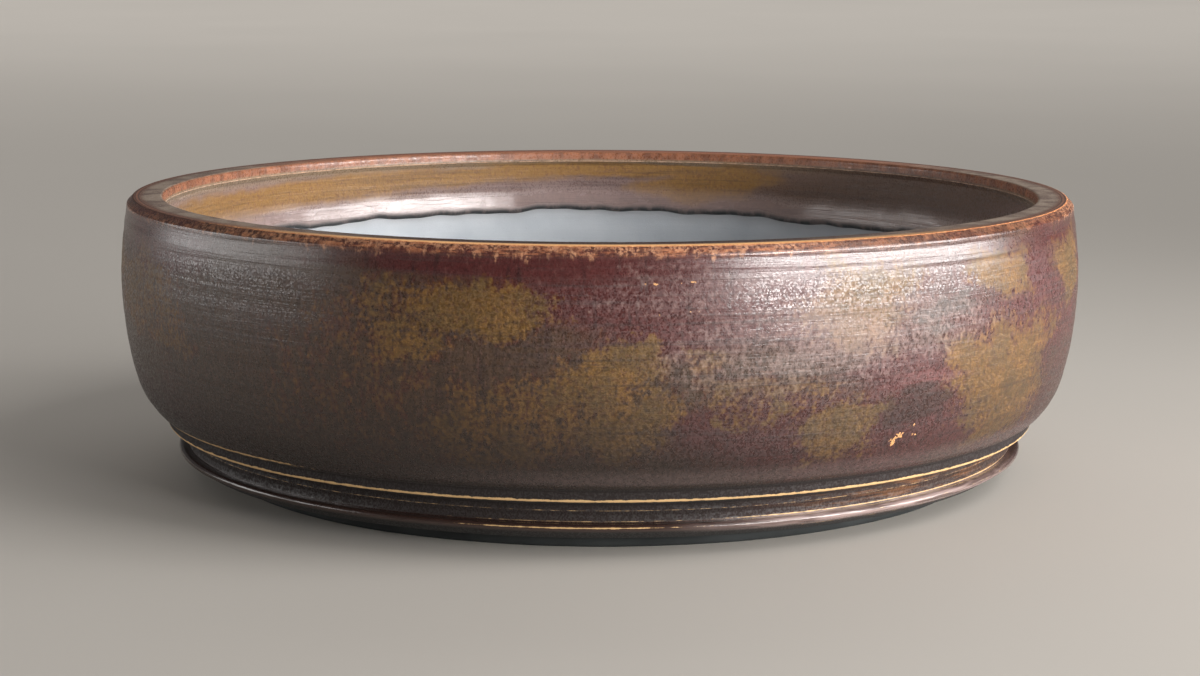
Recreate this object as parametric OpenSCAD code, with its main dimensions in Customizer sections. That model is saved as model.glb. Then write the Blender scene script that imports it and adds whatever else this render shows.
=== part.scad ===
// Round glazed stoneware bonsai pot: thrown wall, floor slab and foot ring,
// a copper-coloured glaze coat, and a screen with its wire clip over each drain hole.
// Millimetres, +Z up, origin on the table under the middle of the foot ring.

/* [Pot] */
// Diameter over the glaze at the widest line of the belly
pot_d = 300; // [270:1:330]
// Height from the table to the glazed top of the rim
pot_h = 87; // [80:1:96]
// Height of the belly's widest line above the table
belly_z = 62; // [56:0.5:68]
// Radius of the belly's side profile
belly_curve = 115; // [100:1:140]
// Radius of the turn from the belly in to the base
turn_curve = 22; // [19:1:26]
// Height of that turn above the base edge
turn_h = 11.3; // [9:0.1:14]
// Thickness of the clay wall
wall_t = 9; // [7:0.5:11]
// Thickness of the glaze coat
glaze_t = 0.6; // [0.4:0.1:0.8]

/* [Rim] */
// Width of the flat on top of the rim
rim_flat = 8.4; // [7.6:0.1:9.2]
// Width of the bevel on the rim's outer edge
bevel_w = 1.6; // [1:0.1:2.4]
// Height of that bevel
bevel_h = 1.6; // [1:0.1:2]
// Height of the lip on the rim's inner edge
lip_h = 2.6; // [2:0.1:4]
// Height of the slope that joins the lip to the wall
lip_slope = 1.5; // [1:0.1:2.5]

/* [Base mouldings] */
// Height of the cove between the base edge and the sharp ridge
cove_h = 3.8; // [3:0.1:5]
// Depth of that cove behind the base edge
cove_depth = 2.5; // [2.2:0.1:3.2]
// How far the ridge stands behind the base edge
ridge_inset = 1.8; // [1.2:0.1:2]
// Height of the groove from the ridge down to its lower line
groove_h = 7.2; // [6.8:0.1:8.4]
// Depth of that groove behind the base edge
groove_depth = 8.7; // [8:0.1:10]
// How far two fine lines stand out of the groove
line_w = 0.6; // [0.4:0.1:0.9]
// Height from that line down to the bead's edge
bead_h = 0.9; // [0.8:0.1:1.6]
// How far the bead stands behind the base edge
bead_inset = 3.9; // [3.4:0.1:4.8]
// Height of the slope under the bead
bead_under = 3.5; // [3:0.1:5]
// Width of the glaze that wraps under the bead
glaze_wrap = 3; // [2:0.1:5]

/* [Foot and floor] */
// Height of the foot ring
foot_h = 5.6; // [4.5:0.1:8]
// How far the foot ring stands behind the bead
foot_inset = 14; // [12.5:0.1:17]
// Width of the foot ring
foot_w = 14; // [12:0.5:18]
// Taper of the foot ring's outer face from top to bottom
foot_taper = 1.2; // [0.5:0.1:2]
// Thickness of the floor slab
floor_t = 10; // [8.5:0.5:12]
// Radius of the curve from the wall's inside to the floor
inner_curve = 22; // [18:0.5:26]
// Width of the ledge that carries the floor slab
ledge_w = 5; // [4:0.5:7]
// Thickness of that ledge
ledge_t = 5; // [4:0.5:6]
// Width of the flat rim of floor between the slab's seam and the curve
seam_w = 3; // [2:0.5:5]
// Gap filled with slip around the slab
slip_gap = 0.15; // [0.1:0.05:0.3]

/* [Glaze line inside] */
// Mean depth of the glaze's lower edge below the rim
glaze_drop = 23.8; // [18:0.1:30]
// Height of the waves in that edge, up and down
wave_h = 2.6; // [1:0.1:4]

/* [Drainage] */
// Diameter of a drain hole
drain_d = 24; // [22:0.5:27]
// Radius of the circle that the drain holes stand on
drain_ring = 52; // [46:1:58]
// Number of tie-wire holes
wire_hole_count = 4; // [2:1:6]
// Diameter of a tie-wire hole
wire_hole_d = 5; // [4:0.5:6]
// Radius of the circle that the tie-wire holes stand on
wire_hole_ring = 88; // [84:1:94]
// Spacing of the strands in a drain screen
screen_pitch = 4.5; // [4:0.1:5]
// Width of one strand
strand_w = 1.2; // [1:0.1:1.4]
// Thickness of a drain screen
screen_t = 1.2; // [0.8:0.1:1.6]
// Number of gaps along one side of a screen
screen_gaps = 8; // [8:2:10]

/* [Screen clips] */
// Diameter of the clip's wire
clip_wire = 1.6; // [1.2:0.1:1.8]
// Radius of the wire's bends, to its centre line
clip_bend = 2; // [1.6:0.1:2.6]
// Distance of each loop's centre from the middle of the hole
loop_reach = 13; // [12:0.5:14]
// Length of each tail under the floor
tail_length = 9; // [7:0.5:12]
// Gap between the wire and what it holds
clip_gap = 0.2; // [0.15:0.05:0.3]

/* [Hidden] */
$fn = 96;
// Four drain holes stand between the axes, one screen and one clip to each
drain_count = 4;
// Rounding of the clay's edges and hollows
edge_round = 0.5;
hollow_round = 1.4;
under_round = 1;
line_round = 0.4;
dip_round = 0.65;
foot_round = 1.2;
// Drops inside the base mouldings
cove_drop = 1.1;
undercut_drop = 2.2;
line_drop = 4.15;
hollow_rise = 1.6;
bead_dip = 0.95;
line_tuck = 0.2;
bead_tuck = 5.6;
// Steps along a curve and around the wavy edge
curve_steps = 20;
round_steps = 4;
wave_steps = 144;
cutter_reach = 3;
// Room that a cut needs past a face
past = 1;

// Heights up the pot
ridge_z = foot_h + bead_under + bead_h + groove_h;
base_z = ridge_z + cove_h;
floor_z = foot_h + floor_t;
rim_z = pot_h - glaze_t;
bevel_z = rim_z - bevel_h;
lip_z = rim_z - lip_h;
glaze_line_z = pot_h - glaze_drop;
glaze_low_z = glaze_line_z - wave_h - past;

// Belly and turn, as arcs of the clay's outer face
clay_r = pot_d / 2 - glaze_t;
belly_r = belly_curve - glaze_t;
belly_c = [clay_r - belly_r, belly_z];
turn_r = turn_curve - glaze_t;
turn_a = asin((base_z + turn_h - belly_z) / belly_r);
turn_c = belly_c + (belly_r - turn_r) * [cos(turn_a), sin(turn_a)];
base_a = asin((base_z - turn_c[1]) / turn_r);
bevel_a = asin((bevel_z - belly_z) / belly_r);
base_r = turn_c[0] + turn_r * cos(base_a);
bevel_r = belly_c[0] + belly_r * cos(bevel_a);

// Inside face: an arc with the belly's centre, then a curve to the floor
inner_r = belly_r - wall_t;
lip_foot_a = asin((lip_z - lip_slope - belly_z) / inner_r);
glaze_low_a = asin((glaze_low_z - belly_z) / inner_r);
curve_z = floor_z + inner_curve;
curve_a = asin((curve_z - belly_z) / (inner_r - inner_curve));
curve_c = [belly_c[0] + (inner_r - inner_curve) * cos(curve_a), curve_z];
slab_r = curve_c[0] - seam_w;
slab_low_r = slab_r - ledge_w;
lip_r = bevel_r - bevel_w - rim_flat;

// Foot ring and bead
bead_r = base_r - bead_inset;
under_r = bead_r - bead_tuck;
glaze_end_r = under_r - glaze_wrap;
foot_r = bead_r - foot_inset;
foot_inner_r = foot_r - foot_w;

// Screens and clips
screen_w = screen_gaps * screen_pitch + strand_w;
clip_r = clip_wire / 2;
clip_top_z = floor_z + screen_t + clip_gap + clip_r;
clip_low_z = foot_h - clip_gap - clip_r;
leg_in = 1.5 * screen_pitch;
loop_curve = leg_in / 2;
leg_h = clip_top_z - clip_low_z - 2 * clip_bend;

// Points along an arc from angle a to angle b
function arc(c, r, a, b) =
    [for (i = [0 : curve_steps])
        let (t = a + (b - a) * i / curve_steps)
        c + r * [cos(t), sin(t)]];

function unit(v) = v / norm(v);
function left_of(v) = [-v[1], v[0]];
function cross_z(u, v) = u[0] * v[1] - u[1] * v[0];

// Points that round the corner at v, between its neighbours p and n, by a radius
function rounded(p, v, n, radius) =
    let (u = unit(v - p),
         w = unit(n - v),
         turn = atan2(cross_z(u, w), u * w),
         reach = radius * tan(abs(turn) / 2),
         side = sign(turn) * left_of(u),
         c = v - reach * u + radius * side,
         start = atan2(-side[1], -side[0]))
    [for (i = [0 : round_steps])
        let (t = start + turn * i / round_steps)
        c + radius * [cos(t), sin(t)]];

// Corners [r, z, rounding] joined to one path; the first and last stay sharp
function rounded_path(k) =
    let (last = len(k) - 1,
         at = [for (q = k) [q[0], q[1]]])
    [for (i = [0 : last])
        each k[i][2] == 0 || i == 0 || i == last
            ? [at[i]]
            : rounded(at[i - 1], at[i], at[i + 1], k[i][2])];

// Copy of a path moved to its left by t, with every stretch kept parallel
function beside(path, t) =
    let (last = len(path) - 1)
    [for (i = [0 : last])
        let (a = left_of(unit(path[max(i, 1)] - path[max(i, 1) - 1])),
             b = left_of(unit(path[min(i, last - 1) + 1] - path[min(i, last - 1)])))
        path[i] + t * (a + b) / (1 + a * b)];

function reversed(path) = [for (i = [len(path) - 1 : -1 : 0]) path[i]];
function sharp(points) = [for (q = points) [q[0], q[1], 0]];
function inner_points(points) = [for (i = [0 : len(points) - 2]) points[i]];

// Clay face inside, from the slab's seam up to the lowest reach of the glaze
bare_inside = concat(
    [[slab_r + slip_gap, floor_z]],
    inner_points(arc(curve_c, inner_curve, -90, curve_a)),
    arc(belly_c, inner_r, curve_a, glaze_low_a));

// Clay face under the glaze: up inside, over the rim, down the belly and under the bead
glazed_face = rounded_path(concat(
    sharp(inner_points(arc(belly_c, inner_r, glaze_low_a, lip_foot_a))),
    [[belly_c[0] + inner_r * cos(lip_foot_a), lip_z - lip_slope, hollow_round],
     [lip_r, lip_z, edge_round],
     [lip_r, rim_z, edge_round],
     [bevel_r - bevel_w, rim_z, edge_round],
     [bevel_r, bevel_z, edge_round]],
    sharp([for (i = [1 : curve_steps])
        let (t = bevel_a + (turn_a - bevel_a) * i / curve_steps)
        belly_c + belly_r * [cos(t), sin(t)]]),
    sharp([for (i = [1 : curve_steps - 1])
        let (t = turn_a + (base_a - turn_a) * i / curve_steps)
        turn_c + turn_r * [cos(t), sin(t)]]),
    [[base_r, base_z, edge_round],
     [base_r - cove_depth, base_z - cove_drop, hollow_round],
     [base_r - ridge_inset, ridge_z, edge_round],
     [base_r - groove_depth, ridge_z - undercut_drop, hollow_round],
     [base_r - groove_depth + line_w, ridge_z - line_drop, edge_round],
     [base_r - groove_depth, ridge_z - groove_h + hollow_rise, hollow_round],
     [base_r - groove_depth + line_w, ridge_z - groove_h, line_round],
     [base_r - groove_depth + line_w - line_tuck, ridge_z - groove_h - bead_dip, dip_round],
     [bead_r, ridge_z - groove_h - bead_h, edge_round],
     [under_r, foot_h, under_round],
     [glaze_end_r, foot_h, 0]]));

// Underside and the rebate that takes the floor slab
wall_back = [
    [slab_low_r + slip_gap, foot_h],
    [slab_low_r + slip_gap, foot_h + ledge_t],
    [slab_r + slip_gap, foot_h + ledge_t]];

// Height of the glaze's lower edge inside, at an angle around the pot
function glaze_edge(a) =
    glaze_line_z + wave_h
        * (0.5 * cos(2 * (a - 102)) + 0.22 * cos(5 * (a - 87)) + 0.12 * cos(13 * (a - 40))
            + 0.13 * cos(24 * (a - 67)));

module turned(points) {
    rotate_extrude() polygon(points);
}

// What the glaze leaves bare under its wavy edge inside
module bare_band() {
    at_r = clay_r - wall_t;
    points = [for (k = [0 : wave_steps - 1])
        let (a = 360 * k / wave_steps,
             d = [cos(a), sin(a)],
             low = glaze_low_z - past,
             top = glaze_edge(a))
        each [concat((at_r - cutter_reach) * d, low), concat((at_r + cutter_reach) * d, low),
              concat((at_r + cutter_reach) * d, top), concat((at_r - cutter_reach) * d, top)]];
    faces = [for (k = [0 : wave_steps - 1])
        for (side = [0 : 3])
            let (p = 4 * k + side,
                 q = 4 * k + (side + 1) % 4,
                 r = 4 * ((k + 1) % wave_steps) + (side + 1) % 4,
                 s = 4 * ((k + 1) % wave_steps) + side)
            each [[p, q, r], [p, r, s]]];
    polyhedron(points, faces);
}

module at_drain(index) {
    a = 360 * (index - 0.5) / drain_count;
    translate([drain_ring * cos(a), drain_ring * sin(a), 0]) children();
}

// Thrown wall with its rim, lip and base mouldings
module wall() {
    color("#a9aeb1") turned(concat(bare_inside, glazed_face, wall_back));
}

// Floor slab, dropped in the wall's rebate, with its drain and tie-wire holes
module floor_slab() {
    color("#b2b5b6") difference() {
        union() {
            translate([0, 0, foot_h + ledge_t]) cylinder(r = slab_r, h = floor_t - ledge_t);
            translate([0, 0, foot_h]) cylinder(r = slab_low_r, h = ledge_t);
        }
        for (index = [1 : drain_count])
            at_drain(index)
                translate([0, 0, foot_h - past]) cylinder(d = drain_d, h = floor_t + 2 * past);
        for (k = [0 : wire_hole_count - 1])
            rotate(360 * k / wire_hole_count)
                translate([wire_hole_ring, 0, foot_h - past])
                    cylinder(d = wire_hole_d, h = floor_t + 2 * past);
    }
}

// Bare clay ring that the pot stands on
module foot_ring() {
    color("#8f9294") turned(rounded_path([
        [foot_r, foot_h, 0],
        [foot_r - foot_taper, 0, foot_round],
        [foot_inner_r, 0, foot_round],
        [foot_inner_r, foot_h, 0]]));
}

// Glaze coat from under the bead, over the rim, to its wavy edge inside
module glaze_coat() {
    color("#7d5a4b") difference() {
        turned(concat(beside(glazed_face, glaze_t), reversed(glazed_face)));
        bare_band();
    }
}

// Plastic net laid over one drain hole
module drain_screen(index) {
    color("#2d3230") at_drain(index) translate([0, 0, floor_z]) linear_extrude(screen_t)
        difference() {
            square(screen_w, center = true);
            for (i = [0 : screen_gaps - 1], j = [0 : screen_gaps - 1])
                translate([i - (screen_gaps - 1) / 2, j - (screen_gaps - 1) / 2] * screen_pitch)
                    square(screen_pitch - strand_w, center = true);
        }
}

// Round wire from the origin along +X
module wire_run(length) {
    rotate([0, 90, 0]) cylinder(r = clip_r, h = length);
}

// Wire bent about the Z axis through the given angle
module wire_bend(radius, angle) {
    rotate_extrude(angle = angle) translate([radius, 0]) circle(r = clip_r);
}

// One half of a clip: bar, loop, leg down through the hole and tail under the floor
module half_clip() {
    rotate(180) wire_run(loop_reach);
    translate([-loop_reach, -loop_curve, 0]) rotate(90) wire_bend(loop_curve, 180);
    translate([-loop_reach, -leg_in, 0]) wire_run(loop_reach - leg_in - clip_bend);
    translate([-leg_in - clip_bend, -leg_in, -clip_bend]) {
        rotate([90, 0, 0]) wire_bend(clip_bend, 90);
        translate([clip_bend, 0, -leg_h]) cylinder(r = clip_r, h = leg_h);
        translate([0, 0, -leg_h]) rotate([90, 0, 0]) rotate(-90) wire_bend(clip_bend, 90);
        translate([0, 0, -leg_h - clip_bend]) rotate(180) wire_run(tail_length);
    }
}

// Wire clip that holds one screen over its hole
module screen_clip(index) {
    color("#8a5a3c") at_drain(index) translate([0, 0, clip_top_z]) {
        half_clip();
        rotate(180) half_clip();
    }
}

wall();
floor_slab();
foot_ring();
glaze_coat();
drain_screen(1);  // drain_screen_1
drain_screen(2);  // drain_screen_2
drain_screen(3);  // drain_screen_3
drain_screen(4);  // drain_screen_4
screen_clip(1);  // screen_clip_1
screen_clip(2);  // screen_clip_2
screen_clip(3);  // screen_clip_3
screen_clip(4);  // screen_clip_4
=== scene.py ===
"""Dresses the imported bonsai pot: glaze, clay, drain screens and wire clips, on a pale floor.

Metres, +Z up, the frame's own origin under the middle of the foot ring. Angles around the
pot are in degrees from the front, which faces the camera, and grow towards the right.
"""
import math

import bpy
import numpy as np
from mathutils import Matrix, Vector
from mathutils.geometry import delaunay_2d_cdt


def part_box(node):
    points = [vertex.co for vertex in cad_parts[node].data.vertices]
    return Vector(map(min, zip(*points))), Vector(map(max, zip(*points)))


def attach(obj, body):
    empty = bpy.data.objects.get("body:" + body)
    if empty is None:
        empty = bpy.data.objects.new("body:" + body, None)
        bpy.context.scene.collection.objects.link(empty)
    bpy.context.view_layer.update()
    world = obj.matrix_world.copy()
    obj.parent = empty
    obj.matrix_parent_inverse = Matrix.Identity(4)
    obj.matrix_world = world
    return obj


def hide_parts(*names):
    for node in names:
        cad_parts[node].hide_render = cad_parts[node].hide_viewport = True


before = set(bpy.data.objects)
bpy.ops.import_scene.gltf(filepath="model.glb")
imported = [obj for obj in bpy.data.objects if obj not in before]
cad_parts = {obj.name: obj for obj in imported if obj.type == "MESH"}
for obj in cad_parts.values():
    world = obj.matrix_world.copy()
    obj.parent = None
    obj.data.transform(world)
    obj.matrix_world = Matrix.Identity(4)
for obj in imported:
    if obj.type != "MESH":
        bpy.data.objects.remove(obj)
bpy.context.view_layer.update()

MM = 0.001

# Sizes that the frame gives
pot_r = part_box("glaze_coat")[1][0]
pot_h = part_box("glaze_coat")[1][2]
foot_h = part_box("foot_ring")[1][2]
floor_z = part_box("floor_slab")[1][2]
slab_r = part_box("floor_slab")[1][0]
screen_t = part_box("drain_screen_1")[1][2] - floor_z
screen_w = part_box("drain_screen_1")[1][0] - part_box("drain_screen_1")[0][0]

# Sizes of the clay's profile, as in the part's source
belly_z = 62 * MM
belly_curve = 115 * MM
turn_curve = 22 * MM
turn_h = 11.3 * MM
wall_t = 9 * MM
glaze_t = 0.6 * MM
rim_flat = 8.4 * MM
bevel_w = 1.6 * MM
bevel_h = 1.6 * MM
lip_h = 2.6 * MM
lip_slope = 1.5 * MM
cove_h = 3.8 * MM
cove_depth = 2.5 * MM
cove_drop = 1.1 * MM
ridge_inset = 1.8 * MM
groove_h = 7.2 * MM
groove_depth = 8.7 * MM
undercut_drop = 2.2 * MM
line_drop = 4.15 * MM
line_w = 0.6 * MM
line_tuck = 0.2 * MM
hollow_rise = 1.6 * MM
bead_h = 0.9 * MM
bead_dip = 0.95 * MM
bead_inset = 3.9 * MM
bead_tuck = 5.6 * MM
bead_under = 3.5 * MM
glaze_wrap = 3 * MM
foot_inset = 14 * MM
foot_w = 14 * MM
foot_taper = 1.2 * MM
inner_curve = 22 * MM
ledge_t = 5 * MM
ledge_w = 5 * MM
slip_gap = 0.15 * MM
glaze_drop = 23.8 * MM
wave_h = 2.6 * MM
edge_round = 0.5 * MM
hollow_round = 1.4 * MM
under_round = 1 * MM
line_round = 0.4 * MM
dip_round = 0.65 * MM
foot_round = 1.2 * MM
drain_d = 24 * MM
drain_ring = 52 * MM
drain_count = 4
wire_hole_d = 5 * MM
wire_hole_ring = 88 * MM
wire_hole_count = 4
screen_gaps = 8
strand_w = 1.2 * MM

# Heights, radii and angles from these; paths join at join_a, just below the lip's foot
bead_z = foot_h + bead_under
groove_z = bead_z + bead_h
ridge_z = groove_z + groove_h
base_z = ridge_z + cove_h
rim_z = pot_h - glaze_t
bevel_z = rim_z - bevel_h
lip_z = rim_z - lip_h
lip_foot_z = lip_z - lip_slope
clay_r = pot_r - glaze_t
belly_r = belly_curve - glaze_t
belly_c = np.array([clay_r - belly_r, belly_z])
turn_r = turn_curve - glaze_t
turn_a = math.asin((base_z + turn_h - belly_z) / belly_r)
turn_c = belly_c + (belly_r - turn_r) * np.array([math.cos(turn_a), math.sin(turn_a)])
base_a = math.asin((base_z - turn_c[1]) / turn_r)
base_r = turn_c[0] + turn_r * math.cos(base_a)
bevel_a = math.asin((bevel_z - belly_z) / belly_r)
bevel_r = belly_c[0] + belly_r * math.cos(bevel_a)
inner_r = belly_r - wall_t
lip_foot_a = math.asin((lip_foot_z - belly_z) / inner_r)
join_a = lip_foot_a - 0.01
lip_r = bevel_r - bevel_w - rim_flat
curve_z = floor_z + inner_curve
curve_a = math.asin((curve_z - belly_z) / (inner_r - inner_curve))
curve_c = belly_c + np.array([(inner_r - inner_curve) * math.cos(curve_a), curve_z - belly_z])
bead_r = base_r - bead_inset
under_r = bead_r - bead_tuck
glaze_end_r = under_r - glaze_wrap
foot_r = bead_r - foot_inset
groove_r = base_r - groove_depth
slab_low_r = slab_r - ledge_w

# Columns of vertices round the pot
AROUND = 480
# Angle of each column of vertices, from +X in radians and from the front in degrees
turn = np.linspace(0, 2 * math.pi, AROUND, endpoint=False)[:, None]
front = (np.degrees(turn) + 270) % 360 - 180


# Paths in the (radius, height) plane, with a third column: how far the glaze breaks there

# How a break falls off from a corner's middle
break_fall = 0.7
# Steps at corners and on the belly, and the longest stretch, of paths that nothing shows
coarse = (1, 14)
hidden_step = 6 * MM


def arc(c, r, a, b, steps):
    """Points on a circle from angle a to angle b, in radians."""
    t = np.linspace(a, b, steps + 1)
    return np.stack([c[0] + r * np.cos(t), c[1] + r * np.sin(t)], 1)


def rounded(p, v, n, radius, steps):
    """Points that round the corner v between its neighbours p and n."""
    u = (v - p) / np.linalg.norm(v - p)
    w = (n - v) / np.linalg.norm(n - v)
    bend = math.atan2(u[0] * w[1] - u[1] * w[0], float(u @ w))
    reach = radius * math.tan(abs(bend) / 2)
    side = math.copysign(1, bend) * np.array([-u[1], u[0]])
    c = v - reach * u + radius * side
    start = math.atan2(-side[1], -side[0])
    return arc(c, radius, start, start + bend, steps)


def rounded_path(corners, steps):
    """Corners (r, z, rounding, break, fineness) joined to one path of (r, z, break)."""
    at = [np.array(k[:2]) for k in corners]
    out = []
    for i, (r, z, radius, broken, fine) in enumerate(corners):
        if radius:
            points = rounded(at[i - 1], at[i], at[i + 1], radius, steps)
        else:
            points = at[i][None]
        share = np.linspace(0, 1, len(points))
        level = broken * np.clip(1 - fine * np.abs(2 * share - 1), 0, 1) ** break_fall
        out.append(np.column_stack([points, level]))
    return np.concatenate(out)


def beside(path, t):
    """Copy of a path moved to its left by t."""
    d = np.diff(path[:, :2], axis=0)
    d /= np.linalg.norm(d, axis=1)[:, None]
    n = np.stack([-d[:, 1], d[:, 0]], 1)
    a = np.concatenate([n[:1], n])
    b = np.concatenate([n, n[-1:]])
    moved = path.copy()
    moved[:, :2] += t * (a + b) / (1 + (a * b).sum(1))[:, None]
    return moved


def resampled(path, step):
    """The path with stretches longer than a step divided; a break stays within a step."""
    out = [path[:1]]
    for p, q in zip(path[:-1], path[1:]):
        parts = max(1, math.ceil(np.linalg.norm(q[:2] - p[:2]) / step))
        share = np.arange(1, parts + 1)[:, None] / parts
        out.append(p + (q - p) * share)
        if parts > 2:
            out[-1][:-1, 2] = 0
    return np.concatenate(out)


def plain(points):
    """Corners without rounding or break."""
    return [(p[0], p[1], 0, 0, 1) for p in points]


def clay_face(round_steps, belly_steps):
    """Clay path from inside the lip, over the rim, to the end of the glaze under the bead."""
    inside = arc(belly_c, inner_r, join_a, lip_foot_a, 1)
    return rounded_path(
        plain(inside[:1])
        + [(inside[1][0], inside[1][1], hollow_round, 0, 1),
           (lip_r, lip_z, edge_round, 0.8, 1),
           (lip_r, rim_z, edge_round, 0.4, 1),
           (bevel_r - bevel_w, rim_z, edge_round, 1.05, 1),
           (bevel_r, bevel_z, edge_round, 0.25, 1)]
        + plain(arc(belly_c, belly_r, bevel_a, turn_a, belly_steps)[1:])
        + plain(arc(turn_c, turn_r, turn_a, base_a, belly_steps // 2)[1:-1])
        + [(base_r, base_z, edge_round, 0.3, 1),
           (base_r - cove_depth, base_z - cove_drop, hollow_round, 0, 1),
           (base_r - ridge_inset, ridge_z, edge_round, 1.0, 1),
           (groove_r, ridge_z - undercut_drop, hollow_round, 0, 1),
           (groove_r + line_w, ridge_z - line_drop, edge_round, 0.66, 2.2),
           (groove_r, groove_z + hollow_rise, hollow_round, 0, 1),
           (groove_r + line_w, groove_z, line_round, 0.72, 1.5),
           (groove_r + line_w - line_tuck, groove_z - bead_dip, dip_round, 0, 1),
           (bead_r, bead_z, edge_round, 0.85, 3.2),
           (under_r, foot_h, under_round, 0, 1),
           (glaze_end_r, foot_h, 0, 0, 1)],
        round_steps)


# Waves of the glaze's edge inside: share of its height, number round the pot, angle of a crest
edge_waves = (
    (0.5, 2, 102),
    (0.22, 5, 87),
    (0.12, 13, 40),
    (0.13, 24, 67),
    (0.07, 41, 11),
    (0.06, 71, 29))


def glaze_edge(degrees):
    """Height of the glaze's lower edge inside, at an angle from +X."""
    wave = sum(share * np.cos(np.radians(count * (degrees - at))) for share, count, at in edge_waves)
    return pot_h - glaze_drop + wave_h * wave


# Meshes


def mesh_object(name, verts, faces, smooth=True):
    mesh = bpy.data.meshes.new(name)
    mesh.from_pydata(verts, [], faces)
    mesh.validate()
    if smooth:
        mesh.shade_smooth()
    obj = bpy.data.objects.new(name, mesh)
    bpy.context.scene.collection.objects.link(obj)
    return obj


def ring_faces(around, along):
    """Quads of a closed tube of closed rings."""
    j = np.arange(around)[:, None]
    i = np.arange(along)[None, :]
    j2 = (j + 1) % around
    i2 = (i + 1) % along
    quads = np.stack([j * along + i, j2 * along + i, j2 * along + i2, j * along + i2], 2)
    return quads.reshape(-1, 4).tolist()


def turned_object(name, r, z):
    """Closed body from arrays r and z, of shape (around, along)."""
    verts = np.stack([r * np.cos(turn), r * np.sin(turn), z], 2).reshape(-1, 3)
    return mesh_object(name, verts.tolist(), ring_faces(*r.shape))


def set_attribute(obj, name, values):
    layer = obj.data.attributes.new(name, "FLOAT", "POINT")
    layer.data.foreach_set("value", np.ascontiguousarray(values, dtype=np.float32).ravel())


def all_round(row):
    """A row of values for each column of vertices."""
    return np.ones((AROUND, 1)) * row


def soft(value, low, high):
    """Smooth step from 0 at low to 1 at high."""
    t = np.clip((value - low) / (high - low), 0, 1)
    return t * t * (3 - 2 * t)


def between(value, low, full_low, full_high, high):
    """Smooth level that is 1 from full_low to full_high and 0 outside low and high."""
    return soft(value, low, full_low) * soft(value, high, full_high)


def ridge(z, height, half):
    """Level that is 1 at a height and falls off over a half width."""
    return np.exp(-((z - height) / half) ** 2)


# Glaze patches: angle, height in mm, half width in degrees, half height in mm, strength

gold_outside = [
    (-14, 71, 7.5, 6.5, 1.0),
    (-21.5, 71, 4, 6, 0.05),
    (-25, 63, 5, 9, -0.2),
    (-20, 61, 3.5, 5, 0.3),
    (-9, 66, 2.5, 4, 0.5),
    (1.8, 54, 5, 7.5, 0.9),
    (-1, 49, 4, 5, 0.25),
    (3, 40, 4.5, 9, 0.35),
    (-9, 40, 8, 11, 0.1),
    (-28, 44, 8, 13, -0.3),
    (10.5, 57, 2, 3, 0.1),
    (17, 46, 6, 6, -0.05),
    (25.3, 35, 3.9, 7.5, 1.0),
    (28, 39, 3.6, 4, 0.5),
    (28, 70, 6, 11, 0.55),
    (52, 45, 9, 15, 1.0),
    (43.5, 51, 4, 8, 0.6),
    (50, 34, 6, 8, 0.3),
    (47, 76, 4, 5, 0.7),
    (51.5, 73, 3.5, 6.5, 0.8),
    (69, 71, 6, 9, 0.9),
    (-62, 62, 9, 11, 0.0),
    (-84, 66, 9, 11, 0.8),
    (-97, 46, 8, 14, 0.9),
    (-119, 60, 11, 10, 1.0),
    (-136, 38, 7, 10, 0.6),
    (-152, 66, 9, 12, 0.9),
    (-171, 50, 8, 16, 1.0),
    (170, 70, 9, 9, 0.7),
    (152, 42, 10, 11, 0.9),
    (138, 66, 8, 11, 1.0),
    (121, 48, 7, 16, 0.7),
    (104, 67, 9, 10, 0.9),
    (88, 40, 7, 11, 0.6)]
gold_inside = [
    (-126, 75.8, 40, 5.2, 1.0),
    (-176, 80, 26, 2.6, 0.7),
    (163, 75.5, 10, 6.5, 0.35),
    (-40, 73, 22, 5, 0.7),
    (20, 76, 16, 4, 0.9),
    (75, 74, 20, 5, 0.5)]
brown_outside = [
    (-24, 50, 20, 20, 1.0),
    (-42, 62, 14, 14, 0.5),
    (-60, 60, 14, 14, 0.8),
    (2, 38, 12, 16, 0.6),
    (-150, 44, 24, 18, 0.8),
    (130, 50, 26, 18, 0.7)]
brown_inside = [
    (124, 74, 30, 14, 1.0)]
maroon_outside = [
    (8, 72, 12, 9, 1.0),
    (-8, 82.5, 17, 2.6, 1.0),
    (14, 36, 8, 9, 0.9),
    (36, 33, 7, 8, 1.0),
    (38, 50, 7, 4, 0.7),
    (60, 66, 9, 12, 0.7),
    (-58, 77, 9, 8, 0.9),
    (-110, 76, 20, 8, 0.7),
    (160, 56, 12, 10, 0.8),
    (100, 52, 10, 12, 0.8)]
others_outside = {
    "dark": [
        (35.3, 40, 5, 4.6, 1.0),
        (35.5, 45.5, 3, 1.6, 0.6),
        (-106, 58, 5, 5, 0.7),
        (146, 54, 6, 4, 0.8)],
    "teal": [
        (40, 67, 4.5, 4, 1.0),
        (37, 63, 3, 4, 0.6),
        (-140, 72, 6, 4, 0.7)],
    # Pale crystal frost, largest where the key lamp's highlight falls: partly painted highlight
    "frost_and_sheen": [
        (24, 61, 9, 12, 0.7),
        (15, 60, 7, 10, 0.1),
        (36, 63, 8, 8, 0.25),
        (10, 75, 9, 6, -0.05),
        (128, 58, 12, 12, 0.2),
        (-150, 58, 12, 12, 0.1)],
    "chips": [
        (33.3, 30.6, 0.6, 1.3, 0.05),
        (34.2, 32.4, 0.6, 0.8, 0.05),
        (32.5, 28.2, 0.5, 0.9, 0.08),
        (35.8, 34.6, 0.6, 0.7, 0.15),
        (36.2, 31.6, 0.5, 0.6, 0.1),
        (5.0, 77.5, 0.9, 0.4, 0.1),
        (9.0, 77.6, 0.9, 0.4, 0.1),
        (9.6, 70.1, 0.8, 0.4, 0.08),
        (6.1, 69.0, 0.35, 0.45, 0.08)],
    "pink": [
        (37, 47.5, 6, 2.6, 0.5),
        (-130, 52, 6, 4, 0.5)]}

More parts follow.
